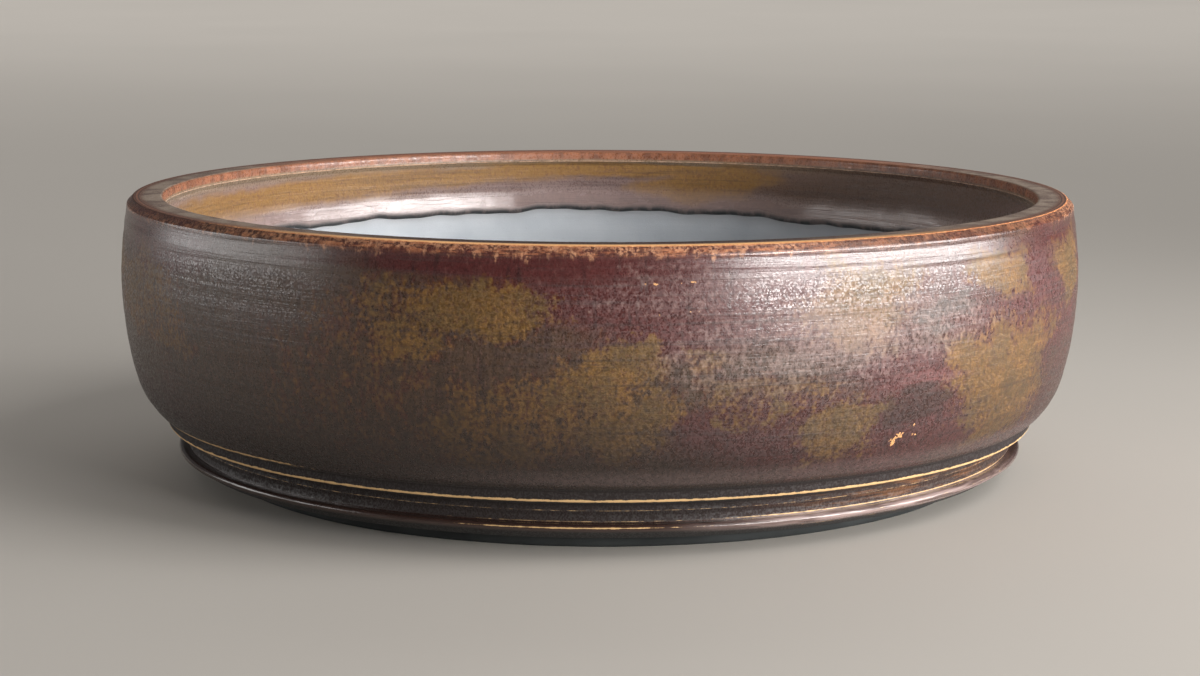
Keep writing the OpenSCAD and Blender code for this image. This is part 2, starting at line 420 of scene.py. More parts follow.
# Patches are rounded rectangles with wavy sides: how square they are and how steeply they end
patch_power = 2.6
patch_slope = 1.25


def patches(z, blobs):
    """Greatest of the patches' levels: its strength inside, falling through 0 at its edge."""
    level = np.full(z.shape, -1.0)
    for at, height, half_w, half_h, strength in blobs:
        aside = ((front - at + 180) % 360 - 180) / half_w
        above = (z / MM - height) / half_h
        aside = aside + 0.22 * np.sin(2.6 * above + at) + 0.1 * np.sin(6.1 * above + height)
        above = above + 0.2 * np.sin(2.9 * aside + height) + 0.1 * np.sin(7.3 * aside + at)
        away = (np.abs(aside) ** patch_power + np.abs(above) ** patch_power) ** (1 / patch_power)
        level = np.maximum(level, np.minimum(patch_slope * (1 - away), strength))
    return level


# Waves that make up the thrower's rings: depth and pitch in mm, turns round the pot, phase
throwing_waves = (
    (0.012, 4.3, 1, 0),
    (0.024, 9.1, 1, 1.3),
    (0.006, 2.7, -2, 0.4),
    (0.04, 23, 2, 0))
# Lines that a rib cut round the upper belly: height, half width and depth in mm
rib_lines = (
    (81.8, 1.2, 0.06),
    (79.6, 0.9, -0.12),
    (77.4, 0.7, 0.07),
    (73.4, 0.6, 0.04),
    (71.7, 0.6, 0.05),
    (67.2, 0.6, 0.03))


def throwing_rings(z):
    """Depth of the shallow rings left by the thrower's fingers."""
    h = 2 * math.pi * z / MM
    return MM * sum(depth * np.sin(h / pitch + turns * turn + phase)
                    for depth, pitch, turns, phase in throwing_waves)


def tool_lines(z):
    """Depth of the rib's lines, which fade and deepen twice round the pot."""
    depth = np.zeros_like(z)
    for height, half, level in rib_lines:
        near = 0.5 + 0.5 * np.sin(2 * turn + height)
        depth += level * MM * (0.4 + 0.6 * near) * ridge(z, height * MM, half * MM)
    return depth


# Stretches round the pot, in degrees from the front: start, full from, full to, end
left_rim_arc = (-140, -110, -58, -32)
left_bead_arc = (-120, -90, -26, -8)
left_line_arc = (-120, -100, -44, -24)
right_line_arc = (8, 24, 60, 80)
lit_base_arc = (6, 28, 46, 84)
lit_belly_arc = (-32, 8, 110, 150)
unshaded_arc = (4, 36, 110, 150)
groove_light_arc = (15, 45, 100, 130)
dry_rim_arc = (16, 30, 62, 74)
facing_arc = (-52, -14, 14, 52)
fore_arc = (-145, -112, 112, 145)


def rim_levels(r, z, outer, on_face):
    """Levels on the rim's flat top, its bevel and the lip's inner face."""
    on_top = on_face * soft(z, pot_h - 0.25 * MM, pot_h - 0.1 * MM)
    lip = soft(z, lip_z + 0.3 * MM, lip_z + 0.8 * MM) * soft(r, lip_r + 0.3 * MM, lip_r - 0.3 * MM)
    return {
        "rim_top": on_top,
        "top_out": soft(r, lip_r + 0.55 * rim_flat, lip_r + 0.85 * rim_flat),
        "bevel": outer * soft(z, bevel_z - 0.9 * MM, bevel_z + 0.2 * MM) * (1 - on_top),
        "lip_face": on_face * lip * (1 - on_top),
        "left_rim": outer * soft(z, bevel_z, rim_z) * between(front, *left_rim_arc),
        "dry_rim": between(front, *dry_rim_arc),
        "facing": between(front, *facing_arc),
        "behind": 1 - between(front, *fore_arc)}


def base_levels(z, outer):
    """Levels on the mouldings of the base, and on the lower belly above them."""
    bead_top = groove_z - 0.3 * MM
    middle_z = ridge_z - line_drop
    lit = between(front, *lit_base_arc)
    # Painted highlight on the bead and the glazed slope under it, on the key-lit stretch; the
    # painted shade of the hollows is lifted there
    pale = outer * between(z, foot_h + 0.9 * MM, foot_h + 1.9 * MM, bead_top, groove_z) * lit
    upper_groove = soft(z, middle_z - 0.4 * MM, middle_z + 0.6 * MM)
    lower_groove = soft(z, groove_z - 0.2 * MM, groove_z + 0.6 * MM)
    below_base = soft(z, base_z + 0.3 * MM, base_z - 0.7 * MM)
    # Painted shade in the cove and grooves, partly dark pooled glaze
    grooves = below_base * np.maximum(upper_groove, 0.75 * lower_groove)
    # Painted shade under the bead, which faces down
    under = soft(z, bead_z - 0.6 * MM, bead_z - 1.4 * MM)
    # A painted sheen band just above the base edge, on the lit stretch of the belly
    low_band = between(z, base_z + 0.4 * MM, base_z + 1.6 * MM, base_z + 3 * MM, base_z + 7 * MM)
    return {
        "bead": outer * between(z, foot_h + 1.6 * MM, foot_h + 2.4 * MM, bead_top, groove_z),
        "hollow": outer * np.maximum(grooves, under) * (1 - 0.9 * pale),
        "under": outer * under,
        "pale": pale,
        # Golden streaks in the upper groove on the key-lit stretch: partly gold in the glaze, partly
        # painted sheen
        "groove_light": soft(z, ridge_z, ridge_z - 1 * MM) * between(front, *groove_light_arc),
        "low_band": outer * low_band * between(front, *lit_belly_arc),
        "shade": 1 - 0.5 * between(front, *unshaded_arc)}


def broken_level(z, outer, corners, left_rim):
    """How far the glaze breaks: at the path's corners, fading in places, and along worn lines,
    with a painted highlight along the base edge on the left.
    """
    at_bead = np.abs(z - bead_z) < 1.6 * MM
    bead_loss = 0.4 * soft(front, 0, 16) + 0.6 * between(front, *left_bead_arc)
    kept = (1 - at_bead * outer * bead_loss) * (1 - 0.55 * left_rim)
    # Painted highlight along the base edge on the left
    left_edge_glint = 0.9 * ridge(z, base_z, 0.55 * MM) * between(front, *left_line_arc)
    right_line = 0.5 * ridge(z, groove_z, 0.45 * MM) * between(front, *right_line_arc)
    low_edge = 0.6 * ridge(z, foot_h + 1.3 * MM, 0.35 * MM) * between(front, *lit_base_arc)
    return corners * kept + outer * (left_edge_glint + right_line + low_edge)


def patch_levels(z, outer):
    levels = {name: np.where(outer, patches(z, blobs), -1) for name, blobs in others_outside.items()}
    levels["gold"] = np.where(outer, patches(z, gold_outside), patches(z, gold_inside))
    levels["tone"] = np.where(outer, patches(z, brown_outside) - patches(z, maroon_outside),
                              patches(z, brown_inside))
    return levels


# The glaze that ran down inside: its height, its slope, how softly it starts, its rolled edge
run_h = 7.5 * MM
run_slope = 0.14
run_soft = 0.12 * MM
roll_h = 1.6 * MM
# Rows of vertices up the glaze inside, and how they crowd towards its edge
inside_rows = 40
inside_crowding = 1.5
# How deep the glaze's hidden back lies in the clay, and how far the glaze is thinned for relief
back_t = 0.3 * MM
relief_room = 0.2 * MM


def inside_r(z):
    """Radius of the clay inside at a height."""
    return belly_c[0] + np.sqrt(inner_r ** 2 - (z - belly_z) ** 2)


def inside_glaze(edge, top_z):
    """Radius, height and height above the wavy edge, of the glaze inside up to a height."""
    share = np.linspace(0, 1, inside_rows, endpoint=False)[None, :] ** inside_crowding
    z = edge + (top_z - edge) * share
    rise = z - edge
    run_z = edge + run_h
    cone = inside_r(run_z) - glaze_t - run_slope * (run_z - z)
    over = (inside_r(z) - glaze_t - cone) / run_soft
    lift = glaze_t + run_soft * np.logaddexp(0, over)
    rolled = np.sqrt(1 - (1 - np.clip(rise / roll_h, 0, 1)) ** 2)
    return inside_r(z) - lift * rolled, z, rise


def columns(shape, part, values=1):
    """Array with values in some columns and 0 in the others."""
    level = np.zeros(shape)
    level[:, part] = values
    return level


def glaze_object():
    """The glaze coat, with the levels that its material reads at each vertex."""
    face = resampled(beside(clay_face(8, 48), glaze_t), 0.7 * MM)
    back = resampled(beside(clay_face(*coarse), -back_t), hidden_step)[::-1]
    edge = glaze_edge(np.degrees(turn))
    r_in, z_in, rise = inside_glaze(edge, face[0][1])
    r_back = inside_r(edge) + back_t
    r = np.concatenate([r_in, all_round(face[:, 0]), all_round(back[:, 0]), r_back], 1)
    z = np.concatenate([z_in, all_round(face[:, 1]), all_round(back[:, 1]), edge], 1)
    corners = np.concatenate([np.zeros(inside_rows), face[:, 2], np.zeros(len(back) + 1)])

    face_end = inside_rows + len(face)
    first_out = inside_rows + int(np.argmax(face[:, 0] > bevel_r - bevel_w))
    inside = slice(0, inside_rows)
    outer = columns(r.shape, slice(first_out, None))
    on_face = columns(r.shape, slice(inside_rows, face_end))
    belly = on_face * outer * between(z, base_z, base_z + 4 * MM, bevel_z - 1.5 * MM, bevel_z)
    rings = throwing_rings(z)
    above_edge = columns(r.shape, slice(4, inside_rows))
    r = r - belly * (relief_room + rings + tool_lines(z)) + above_edge * rings
    obj = turned_object("glaze", r, z)

    levels = {
        "outer": outer,
        # Dark pooled glaze at the edge inside, partly painted shade
        "pool_and_shade": columns(r.shape, inside, np.exp(-(rise / (2.1 * MM)) ** 4)),
        "thick": columns(r.shape, inside, soft(rise, 11 * MM, 5 * MM)),
        **rim_levels(r, z, outer, on_face),
        **base_levels(z, outer),
        **patch_levels(z, outer)}
    levels["broken"] = broken_level(z, outer, corners, levels["left_rim"])
    for name, values in levels.items():
        set_attribute(obj, name, np.broadcast_to(values, r.shape))
    return obj


# How far the wall's hidden face lies inside the clay's surface, within the glaze's own body
wall_back_t = 0.1 * MM
# How far the wall's underside reaches past the foot, how deep its rings are against the glaze's,
# and how far the glaze stains the clay
foot_lap = 2 * MM
clay_rings = 1.4
stain_h = 2.2 * MM


def wall_object():
    inside = np.concatenate([
        [[slab_r + slip_gap, floor_z]],
        arc(curve_c, inner_curve, -math.pi / 2, curve_a, 26),
        arc(belly_c, inner_r, curve_a, join_a, 50)[1:]])
    inside = resampled(np.column_stack([inside, np.zeros(len(inside))]), 1.2 * MM)
    hidden = resampled(beside(clay_face(*coarse), -wall_back_t), hidden_step)
    back = np.array([
        [foot_r + foot_lap, foot_h, 0],
        [slab_low_r + slip_gap, foot_h, 0],
        [slab_low_r + slip_gap, foot_h + ledge_t, 0],
        [slab_r + slip_gap, foot_h + ledge_t, 0]])
    path = np.concatenate([inside, hidden, back])
    r = all_round(path[:, 0])
    z = all_round(path[:, 1])
    shown = slice(3, len(inside))
    r[:, shown] += clay_rings * throwing_rings(z)[:, shown]
    obj = turned_object("wall_clay", r, z)
    stain = np.exp(-np.abs(z - glaze_edge(np.degrees(turn))) / stain_h)
    set_attribute(obj, "stain", stain)
    return obj


def foot_object():
    path = rounded_path([
        (foot_r, foot_h, 0, 0, 1),
        (foot_r - foot_taper, 0, foot_round, 0, 1),
        (foot_r - foot_w, 0, foot_round, 0, 1),
        (foot_r - foot_w, foot_h, 0, 0, 1)], 6)
    path = resampled(path, 0.8 * MM)
    r = all_round(path[:, 0])
    z = all_round(path[:, 1])
    h = 2 * math.pi * z / MM
    worn = 0.1 * np.sin(5 * turn + h / 8) + 0.07 * np.sin(13 * turn + 1.1) + 0.05 * np.sin(h / 1.7)
    r -= MM * (0.2 + worn) * (r > foot_r - foot_w / 2)
    obj = turned_object("foot", r, z)
    set_attribute(obj, "stain", np.zeros_like(r))
    return obj


# Floor slab: a disc with rounded holes, triangulated on top and below

# Rounding of the holes and the slab's upper edge, and the whirl that the thrower left on top
soften = 0.7 * MM
slab_soft = 0.3 * MM
whirl_pitch = 7 * MM
whirl_h = 0.22 * MM
# Spacing of the slab's points on top and below
top_spacing = 2.2 * MM
low_spacing = 7 * MM


def loop(c, r, count):
    """Points round a circle."""
    return arc(c, r, 0, 2 * math.pi, count)[:-1]


def slab_holes():
    """Centre, radius and number of edge points of each hole through the slab."""
    holes = []
    for number, offset, ring, d, points in ((drain_count, 0.5, drain_ring, drain_d, 64),
                                            (wire_hole_count, 0, wire_hole_ring, wire_hole_d, 28)):
        for k in range(number):
            t = 2 * math.pi * (k + offset) / number
            holes.append((ring * np.array([math.cos(t), math.sin(t)]), d / 2, points))
    return holes


def disc_faces(edge_loops, holes, spacing):
    """Points and triangles of a disc with holes; the loops' points come first, in order."""
    points = list(np.concatenate(edge_loops))
    edges = []
    start = 0
    for ring in edge_loops:
        count = len(ring)
        edges += [(start + i, start + (i + 1) % count) for i in range(count)]
        start += count
    outer_r = np.linalg.norm(edge_loops[0][0])
    for k in range(1, int((outer_r - 0.6 * spacing) / spacing) + 1):
        ring = loop((0, 0), k * spacing, max(6, round(2 * math.pi * k)))
        for p in ring:
            if all(np.linalg.norm(p - c) > r + soften + 0.5 * spacing for c, r, n in holes):
                points.append(p)
    points.append(np.zeros(2))
    made = delaunay_2d_cdt([Vector(p) for p in points], edges, [], 0, 1e-9)
    flat = np.array([v[:] for v in made[0]])
    triangles = []
    for face in made[2]:
        middle = flat[face].mean(0)
        if all(np.linalg.norm(middle - c) > r + soften - 0.2 * MM for c, r, n in holes):
            triangles.append(list(face))
    return flat, triangles


def slab_object():
    holes = slab_holes()
    outer_count = 240
    verts = []
    faces = []

    def add_level(points, z):
        start = len(verts)
        verts.extend((p[0], p[1], h) for p, h in zip(points, np.broadcast_to(z, len(points))))
        return start

    def add_band(start_a, start_b, count):
        for i in range(count):
            j = (i + 1) % count
            faces.append((start_a + i, start_a + j, start_b + j, start_b + i))

    hole_loops = [loop(c, r + soften, count) for c, r, count in holes]
    top_loops = [loop((0, 0), slab_r - slab_soft, outer_count)] + hole_loops
    low_loops = [loop((0, 0), slab_low_r, outer_count)] + hole_loops
    flat, triangles = disc_faces(top_loops, holes, top_spacing)
    away = np.linalg.norm(flat, axis=1)
    clear = np.min([np.linalg.norm(flat - c, axis=1) - r - soften for c, r, n in holes], axis=0)
    clear = np.minimum(clear, slab_r - slab_soft - away)
    whirl = np.sin(2 * math.pi * away / whirl_pitch - np.arctan2(flat[:, 1], flat[:, 0]))
    relief = whirl_h * (whirl - 1) * soft(clear, 0.3 * MM, 4 * MM)
    top = add_level(flat, floor_z + relief)
    faces.extend(tuple(top + i for i in t) for t in triangles)
    flat, triangles = disc_faces(low_loops, holes, low_spacing)
    low = add_level(flat, foot_h)
    faces.extend(tuple(low + i for i in reversed(t)) for t in triangles)

    rim = [(slab_r, floor_z - slab_soft), (slab_r, foot_h + ledge_t), (slab_low_r, foot_h + ledge_t)]
    last = top
    for r, z in rim:
        level = add_level(loop((0, 0), r, outer_count), z)
        add_band(level, last, outer_count)
        last = level
    add_band(low, last, outer_count)
    start = outer_count
    quarter = np.radians([30, 60, 90])
    out = soften * (1 - np.sin(quarter))
    deep = soften * (1 - np.cos(quarter))
    hole_side = [*zip(out, floor_z - deep), *zip(out[::-1], foot_h + deep[::-1])]
    for c, r, count in holes:
        last = top + start
        for wider, z in hole_side:
            level = add_level(loop(c, r + wider, count), z)
            add_band(last, level, count)
            last = level
        add_band(last, low + start, count)
        start += count
    obj = mesh_object("floor_clay", verts, faces)
    obj.data.set_sharp_from_angle(angle=math.radians(40))
    set_attribute(obj, "stain", np.zeros(len(verts)))
    return obj


# Drain screens: half height of a strand at its side, its middle and a crossing, as a share
strand_fat = (0.3, 0.44, 0.5)


def screen_object(index):
    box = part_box("drain_screen_%d" % index)
    middle = (box[0] + box[1]) / 2
    pitch = (screen_w - strand_w) / screen_gaps
    lines = []
    for k in range(screen_gaps + 1):
        at = (k - screen_gaps / 2) * pitch
        lines += [at - strand_w / 2, at, at + strand_w / 2]
    count = len(lines)

    def in_strand(k):
        return k % 3 != 2

    solid = {(i, j) for i in range(count - 1) for j in range(count - 1)
             if in_strand(i) or in_strand(j)}
    verts = []
    spot = {}
    for i in range(count):
        for j in range(count):
            fat = strand_fat[(i % 3 == 1) + (j % 3 == 1)]
            for sign in (-1, 1):
                spot[i, j, sign] = len(verts)
                verts.append((middle[0] + lines[i], middle[1] + lines[j],
                              box[0][2] + screen_t * (0.5 + sign * fat)))
    faces = []
    for i, j in sorted(solid):
        ring = [(i, j), (i + 1, j), (i + 1, j + 1), (i, j + 1)]
        faces.append([spot[p + (1,)] for p in ring])
        faces.append([spot[p + (-1,)] for p in reversed(ring)])
        for k, beyond in enumerate([(i, j - 1), (i + 1, j), (i, j + 1), (i - 1, j)]):
            if beyond not in solid:
                p = ring[k]
                q = ring[(k + 1) % 4]
                faces.append([spot[p + (-1,)], spot[q + (-1,)], spot[q + (1,)], spot[p + (1,)]])
    obj = mesh_object("screen_%d" % index, verts, faces)
    smooth = obj.modifiers.new("round", "SUBSURF")
    smooth.levels = 1
    smooth.render_levels = 1
    return obj


# Materials


class Shader:
    """A material's node tree, with short calls for the nodes used here."""

    def __init__(self, name):
        self.material = bpy.data.materials.new(name)
        self.material.use_nodes = True
        self.tree = self.material.node_tree
        self.bsdf = self.tree.nodes["Principled BSDF"]
        self.place = self.tree.nodes.new("ShaderNodeTexCoord").outputs["Object"]

    def put(self, value, socket):
        if isinstance(value, bpy.types.NodeSocket):
            self.tree.links.new(value, socket)
        else:
            socket.default_value = value

    def node(self, kind, **inputs):
        """A node with some of its inputs set or linked, by name."""
        made = self.tree.nodes.new(kind)
        for name, value in inputs.items():
            self.put(value, made.inputs[name])
        return made

    def math(self, operation, a, b):
        made = self.node("ShaderNodeMath")
        made.operation = operation
        self.put(a, made.inputs[0])
        self.put(b, made.inputs[1])
        return made.outputs[0]

    def times(self, a, b):
        return self.math("MULTIPLY", a, b)

    def plus(self, a, b):
        return self.math("ADD", a, b)

    def less(self, a, b):
        return self.math("SUBTRACT", a, b)

    def swing(self, value, reach):
        """Noise about 0.5 turned into a swing about 0."""
        return self.times(self.less(value, 0.5), reach)

    def stretched(self, x, y, z):
        made = self.node("ShaderNodeVectorMath")
        made.operation = "MULTIPLY"
        self.put(self.place, made.inputs[0])
        self.put((x, y, z), made.inputs[1])
        return made.outputs[0]

    def noise(self, size, detail=2.0, roughness=0.5, stretch=(1, 1, 1)):
        """Noise with features of about a size in metres, drawn out along axes below 1."""
        made = self.node("ShaderNodeTexNoise", Vector=self.stretched(*stretch), Scale=1 / size,
                         Detail=detail, Roughness=roughness)
        return made.outputs["Fac"]

    def cells(self, size, stretch):
        """A random level in each of scattered cells of about a size in metres."""
        made = self.node("ShaderNodeTexVoronoi", Vector=self.stretched(*stretch), Scale=1 / size)
        return made.outputs["Color"]

    def stripes(self, value, size):
        """Noise along one value, with stripes of about a size in metres."""
        made = self.node("ShaderNodeTexNoise", Scale=1 / size, Detail=2.0)
        made.noise_dimensions = "1D"
        self.put(value, made.inputs["W"])
        return made.outputs["Fac"]

    def attribute(self, name):
        made = self.node("ShaderNodeAttribute")
        made.attribute_name = name
        return made.outputs["Fac"]

    def level(self, name, *swings):
        """A vertex level with swings of noise added, each a noise and its reach."""
        total = self.attribute(name)
        for value, reach in swings:
            total = self.plus(total, self.swing(value, reach))
        return total

    def radius(self):
        """Distance from the pot's axis."""
        made = self.node("ShaderNodeVectorMath")
        made.operation = "LENGTH"
        self.put(self.stretched(1, 1, 0), made.inputs[0])
        return made.outputs["Value"]

    def height(self):
        made = self.node("ShaderNodeSeparateXYZ")
        self.put(self.place, made.inputs[0])
        return made.outputs["Z"]

    def span(self, value, low, high, to_low=0.0, to_high=1.0):
        """Smooth step from to_low where the value is low to to_high where it is high."""
        made = self.node("ShaderNodeMapRange", Value=value)
        made.interpolation_type = "SMOOTHSTEP"
        self.put(low, made.inputs["From Min"])
        self.put(high, made.inputs["From Max"])
        self.put(to_low, made.inputs["To Min"])
        self.put(to_high, made.inputs["To Max"])
        return made.outputs["Result"]

    def mix(self, share, a, b, kind="RGBA"):
        made = self.node("ShaderNodeMix")
        made.data_type = kind
        self.put(share, made.inputs["Factor"])
        self.put(a, made.inputs["A"])
        self.put(b, made.inputs["B"])
        return made.outputs["Result"]

    def scaled(self, colour, factor):
        made = self.node("ShaderNodeVectorMath")
        made.operation = "SCALE"
        self.put(colour, made.inputs[0])
        self.put(factor, made.inputs["Scale"])
        return made.outputs[0]

    def bump(self, height, distance, after=None):
        made = self.node("ShaderNodeBump", Distance=distance, Height=height)
        if after is not None:
            self.put(after, made.inputs["Normal"])
        return made.outputs["Normal"]

    def finish(self, colour, roughness, normal):
        self.put(colour, self.bsdf.inputs["Base Color"])
        self.put(roughness, self.bsdf.inputs["Roughness"])
        self.put(normal, self.bsdf.inputs["Normal"])
        return self.material


def srgb(r, g, b):
    """Linear colour of 8-bit screen values."""
    def channel(v):
        v /= 255
        return v / 12.92 if v <= 0.04045 else ((v + 0.055) / 1.055) ** 2.4
    return (channel(r), channel(g), channel(b), 1.0)


class Tint:
    """Colours of the glaze."""

    # Ground, outside and inside
    maroon = srgb(94, 44, 42)
    brown = srgb(84, 60, 42)
    cloud = srgb(104, 72, 66)
    streak = srgb(50, 28, 29)
    hair = srgb(138, 98, 90)
    haze = srgb(126, 98, 96)
    inside_low = srgb(112, 90, 84)
    inside_high = srgb(118, 98, 76)
    inside_brown = srgb(90, 64, 46)
    # Golden patches
    ochre = srgb(138, 98, 43)
    deep_ochre = srgb(112, 84, 43)
    inside_ochre = srgb(126, 90, 37)
    ochre_hair = srgb(164, 122, 66)
    ochre_crystal = srgb(88, 46, 30)
    rust = srgb(104, 46, 34)
    # Other patches, shade and sheen
    teal = srgb(98, 98, 90)
    pink = srgb(158, 102, 98)
    frost_and_sheen = srgb(176, 150, 142)
    dark = srgb(60, 31, 24)
    low_shade = srgb(32, 18, 14)
    ring_shade = srgb(48, 33, 31)
    low_sheen = srgb(140, 118, 114)
    thick_sheen = srgb(196, 176, 172)
    # Rim and lip
    run = srgb(210, 154, 118)
    bevel_dark = srgb(84, 50, 40)
    bevel_light = srgb(196, 128, 90)
    # Grey of the rim top, partly painted sheen
    rim_grey = srgb(142, 124, 108)
    rim_dark_grey = srgb(104, 84, 72)
    rim_behind = srgb(150, 92, 64)
    rim_front = srgb(58, 36, 27)
    rim_rust = srgb(64, 38, 29)
    rim_light_rust = srgb(124, 80, 58)
    rim_front_edge = srgb(250, 188, 124)
    lip_light = srgb(146, 92, 64)
    lip_dark = srgb(108, 66, 46)
    # Mouldings of the base, with painted shade, a painted highlight and a partly painted sheen
    groove_shadow = srgb(24, 15, 13)
    groove_gold_sheen = srgb(116, 74, 38)
    under_bead_shade = srgb(20, 21, 20)
    bead = srgb(70, 52, 46)
    # Painted highlight on the bead's key-lit face
    pale = srgb(178, 154, 148)
    # Edges where the glaze breaks, chips, and the pooled edge inside, partly painted shade
    edge_orange = srgb(190, 108, 62)
    edge_light = srgb(236, 172, 116)
    lip_line = srgb(200, 160, 134)
    base_line = srgb(222, 182, 128)
    chip = srgb(222, 164, 106)
    pool_and_shade = srgb(38, 42, 43)


class GlazeShader(Shader):
    """The copper glaze's noises and levels that more than one of its layers reads."""

    def __init__(self):
        super().__init__("copper_glaze")
        self.z = self.height()
        self.outer = self.attribute("outer")
        self.thick = self.attribute("thick")
        self.cloud = self.noise(34 * MM, 3.0, 0.5)
        self.patchy = self.noise(9 * MM, 4.0, 0.6)
        self.ragged = self.noise(3 * MM, 4.0, 0.65, (1, 1, 0.5))
        self.streak = self.noise(2.2 * MM, 3.0, 0.6, (1, 1, 0.12))
        self.hair = self.noise(0.9 * MM, 2.0, 0.6, (1, 1, 0.3))
        self.grain = self.cells(0.4 * MM, (1, 1, 0.8))
        self.speck = self.noise(1.2 * MM, 1.0, 0.5, (1, 1, 0.8))
        self.crystal = self.noise(1.1 * MM, 3.0, 0.7)
        self.pits = self.noise(0.75 * MM, 1.0, 0.5)
        self.rings = self.noise(1.3 * MM, 3.0, 0.7, (0.03, 0.03, 1))
        self.frost_sheen_level = self.level("frost_and_sheen", (self.speck, 2.2), (self.rings, 1.0))
        self.gold_level = self.level("gold", (self.patchy, 1.2), (self.ragged, 1.3),
                                     (self.crystal, 1.0))
        self.gold = self.gold_share()

    def gold_share(self):
        """How golden the glaze is: sharp flecks outside, soft clouds inside."""
        flecked = self.plus(self.gold_level, self.swing(self.speck, 1.5))
        outside = self.times(self.span(flecked, -0.3, 0.34), self.outer)
        clouded = self.level("gold", (self.patchy, 0.9), (self.hair, 0.2))
        inside = self.times(self.span(clouded, -0.35, 0.4, 0.0, 0.95), self.less(1.0, self.outer))
        return self.plus(outside, inside)


# Heights over which the glaze's layers come in or ease off
haze_rise = (52 * MM, 66 * MM)
inside_rise = (79 * MM, 83 * MM)
shade_fall = (60 * MM, 20 * MM)
stipple_ease = (68 * MM, 80 * MM)
base_fall = (40 * MM, 30 * MM)
gloss_rise = (73 * MM, 81 * MM)
relief_ease = (74 * MM, 83 * MM)


# Layers of the glaze's colour, from the ground up


def ground(s):
    tone = s.level("tone", (s.cloud, 1.4), (s.patchy, 1.2))
    colour = s.mix(s.span(tone, -0.8, 0.8), Tint.maroon, Tint.brown)
    colour = s.mix(s.span(s.patchy, 0.5, 0.68, 0.0, 0.15), colour, Tint.cloud)
    colour = s.mix(s.span(s.streak, 0.5, 0.72, 0.0, 0.55), colour, Tint.streak)
    colour = s.mix(s.span(s.hair, 0.54, 0.7, 0.0, 0.25), colour, Tint.hair)
    haze = s.times(s.span(s.rings, 0.45, 0.62, 0.0, 0.25), s.span(s.cloud, 0.35, 0.6, 0.3, 1.0))
    colour = s.mix(s.times(haze, s.span(s.z, *haze_rise)), colour, Tint.haze)
    inside = s.mix(s.span(s.z, *inside_rise), Tint.inside_low, Tint.inside_high)
    inside = s.mix(s.span(s.attribute("tone"), -0.6, 0.6), inside, Tint.inside_brown)
    return s.mix(s.outer, inside, colour)


def gilded(s, colour):
    rust = s.times(s.span(s.gold_level, -0.5, -0.1), s.span(s.ragged, 0.44, 0.6, 0.0, 0.6))
    colour = s.mix(s.times(rust, s.outer), colour, Tint.rust)
    ochre = s.mix(s.span(s.patchy, 0.35, 0.65), Tint.ochre, Tint.deep_ochre)
    ochre = s.mix(s.outer, Tint.inside_ochre, ochre)
    ochre = s.mix(s.span(s.hair, 0.52, 0.72, 0.0, 0.3), ochre, Tint.ochre_hair)
    ochre = s.mix(s.span(s.crystal, 0.5, 0.64, 0.0, 0.55), ochre, Tint.ochre_crystal)
    return s.mix(s.times(s.gold, 0.95), colour, ochre)


def patched(s, colour):
    teal = s.level("teal", (s.rings, 1.6), (s.ragged, 1.6))
    colour = s.mix(s.span(teal, -0.1, 0.7, 0.0, 0.5), colour, Tint.teal)
    pink = s.level("pink", (s.streak, 1.6))
    colour = s.mix(s.span(pink, -0.1, 0.5, 0.0, 0.3), colour, Tint.pink)
    # Pale frost of crystals, partly painted highlight
    colour = s.mix(s.span(s.frost_sheen_level, -0.3, 0.9, 0.0, 0.48), colour, Tint.frost_and_sheen)
    dark = s.level("dark", (s.ragged, 1.2), (s.speck, 1.2))
    return s.mix(s.span(dark, -0.1, 0.3, 0.0, 0.8), colour, Tint.dark)


def shaded(s, colour):
    low = s.times(s.span(s.z, *shade_fall, 0.0, 0.9), s.attribute("shade"))
    colour = s.mix(s.times(low, s.outer), colour, Tint.low_shade)
    colour = s.mix(s.span(s.rings, 0.48, 0.7, 0.0, 0.42), colour, Tint.ring_shade)
    # Painted sheen band just above the base edge
    return s.mix(s.times(s.attribute("low_band"), 0.3), colour, Tint.low_sheen)


def stippled(s, colour):
    strength = s.times(s.span(s.outer, 0.0, 1.0, 0.2, 0.5), s.span(s.z, *stipple_ease, 1.0, 0.5))
    # Stipple is weaker in the frost, which is partly painted highlight
    strength = s.times(strength, s.span(s.frost_sheen_level, -0.3, 0.9, 1.0, 0.55))
    flecks = s.plus(s.swing(s.span(s.grain, 0.2, 0.8), 0.6), s.swing(s.span(s.speck, 0.3, 0.7), 0.9))
    stipple = s.plus(1.0, s.times(flecks, strength))
    colour = s.scaled(colour, s.times(stipple, s.span(s.outer, 0.0, 1.0, 1.12, 0.66)))
    # Painted sheen on the thick glaze just above its edge inside
    return s.mix(s.times(s.thick, 0.26), colour, Tint.thick_sheen)


